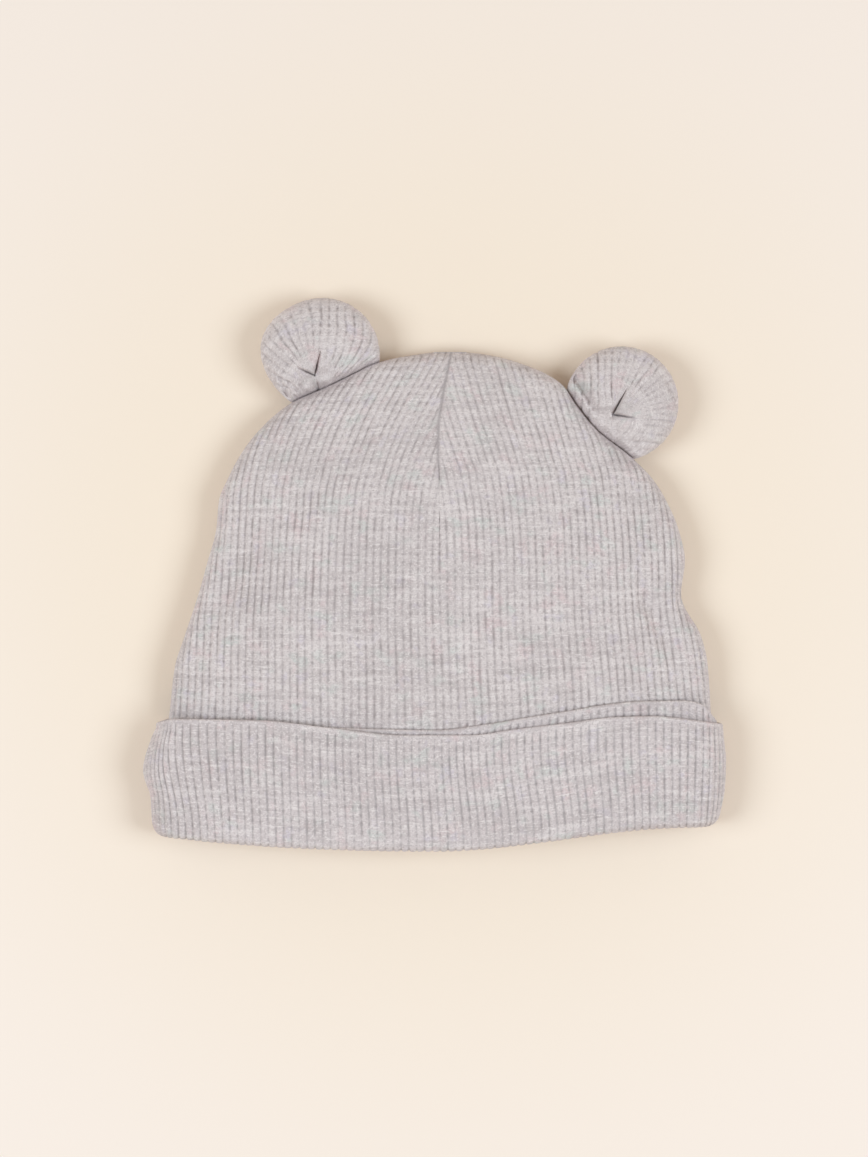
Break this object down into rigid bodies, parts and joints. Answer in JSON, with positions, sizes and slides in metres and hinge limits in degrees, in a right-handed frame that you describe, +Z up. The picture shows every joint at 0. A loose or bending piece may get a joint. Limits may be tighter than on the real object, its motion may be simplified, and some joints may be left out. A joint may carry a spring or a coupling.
{
  "type": "baby hat with ears",
  "caption": "Baby's rib-knit beanie with a turned-up cuff and stuffed bear ears, lying flat on its back, hollow and open at the hem.",
  "frame": {"origin": "middle of the hat's resting box, on the surface it lies on", "axes": "+Z up out of the front panel, +Y from the hem towards the ears, +X across the front towards its right-hand ear in the picture"},
  "size_m": [0.1662, 0.1568, 0.022],
  "materials": {
    "rib_knit": "matt heather-grey rib knit",
    "ear_knit": "matt heather-grey rib knit, stretched over stuffing"
  },
  "bodies": {
    "root": {"crown_front": "rib_knit", "crown_back": "rib_knit", "cuff": "rib_knit", "cuff_facing": "rib_knit", "ear_left": "ear_knit", "ear_right": "ear_knit"}
  },
  "joints": []
}
